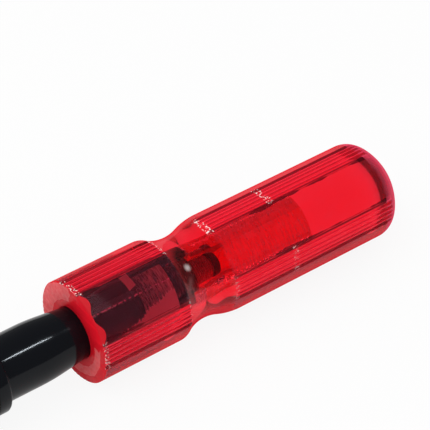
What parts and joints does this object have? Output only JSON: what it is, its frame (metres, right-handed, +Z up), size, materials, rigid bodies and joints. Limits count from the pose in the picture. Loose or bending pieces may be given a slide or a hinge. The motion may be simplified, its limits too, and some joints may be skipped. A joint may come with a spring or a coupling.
{
  "type": "traffic baton light",
  "caption": "Hand-held traffic signal light: a fluted clear red wand with a domed end on a black tapered nose and battery handle.",
  "frame": {"origin": "under the middle of the length, on the surface the light lies on", "axes": "+X along the light's axis towards the wand's domed end, +Z up through the push button"},
  "size_m": [0.327, 0.0392, 0.038],
  "materials": {
    "clear_red_plastic": "polished clear cast plastic, tool-marked on the sawn face and in the well",
    "black_gloss_plastic": "polished",
    "black_satin_plastic": "satin",
    "barrel_black": "satin, finely textured",
    "cap_black": "satin",
    "black_rubber": "matt",
    "grip_rubber": "matt",
    "red_button_rubber": "soft matt",
    "red_gasket": "matt",
    "clear_lamp": "clear epoxy",
    "green_board": "solder-masked board",
    "red_wire_cover": "extruded sleeve",
    "blue_wire_cover": "extruded sleeve",
    "tan_brass": "aged, brushed",
    "contact_brass": "bright",
    "ferrite": "sintered",
    "chip_black": "moulded",
    "dark_grey_metal": "dark anodised",
    "bright_steel": "plated",
    "spring_steel": "drawn wire",
    "ivory_plastic": "moulded",
    "cell_can": "plain dark sleeve on a metal can"
  },
  "bodies": {
    "handle": {"nose_tube": "black_gloss_plastic", "socket_seal": "black_rubber", "lamp_nozzle": "black_satin_plastic", "nozzle_ring": "black_satin_plastic", "led_lamp": "clear_lamp", "led_board": "green_board", "led_wires": "red_wire_cover", "lock_ring": "tan_brass", "head_collar": "black_satin_plastic", "collar_seal": "black_rubber", "driver_board": "green_board", "driver_coil": "ferrite", "driver_chip": "chip_black", "barrel": "barrel_black", "grip_sleeve": "grip_rubber", "switch_bezel": "dark_grey_metal", "bezel_screws": "bright_steel", "button_spring": "spring_steel", "micro_switch": "chip_black", "switch_carrier": "ivory_plastic", "switch_wires": "blue_wire_cover", "front_contact": "contact_brass", "front_cell": "cell_can", "rear_cell": "cell_can", "contact_strip": "contact_brass", "cap_seal": "red_gasket"},
    "wand": {"wand": "clear_red_plastic"},
    "button": {"push_button": "red_button_rubber"},
    "tail_plunger": {"tail_spring": "spring_steel", "tail_contact": "contact_brass"},
    "cap": {"tail_cap": "cap_black", "loop_hinge": "bright_steel", "hinge_rivets": "bright_steel"},
    "loop": {"hang_loop": "bright_steel"}
  },
  "joints": [
    {"name": "wand_pull", "type": "slide", "parent": "handle", "child": "wand", "axis": [1, 0, 0], "range_m": [0, 0.052]},
    {"name": "button_press", "type": "slide", "parent": "handle", "child": "button", "axis": [0, 0, -1], "range_m": [0, 0.0015], "stiffness_N_per_m": 600, "springref_m": -0.003, "deforming": ["button_spring"]},
    {"name": "cap_travel", "type": "slide", "parent": "handle", "child": "tail_plunger", "axis": [-1, 0, 0], "range_m": [0, 0.0111]},
    {"name": "cap_turn", "type": "hinge", "parent": "tail_plunger", "child": "cap", "pos_m": [-0.1525, 0, 0.017], "axis": [-1, 0, 0], "range_deg": [0, 1980]},
    {"name": "loop_swing", "type": "hinge", "parent": "cap", "child": "loop", "pos_m": [-0.1614, 0, 0.024], "axis": [0, 1, 0], "range_deg": [0, 120]}
  ],
  "couplings": [
    {"joint": "cap_travel", "follows": "cap_turn", "m_per_rad": 0.00031831}
  ]
}
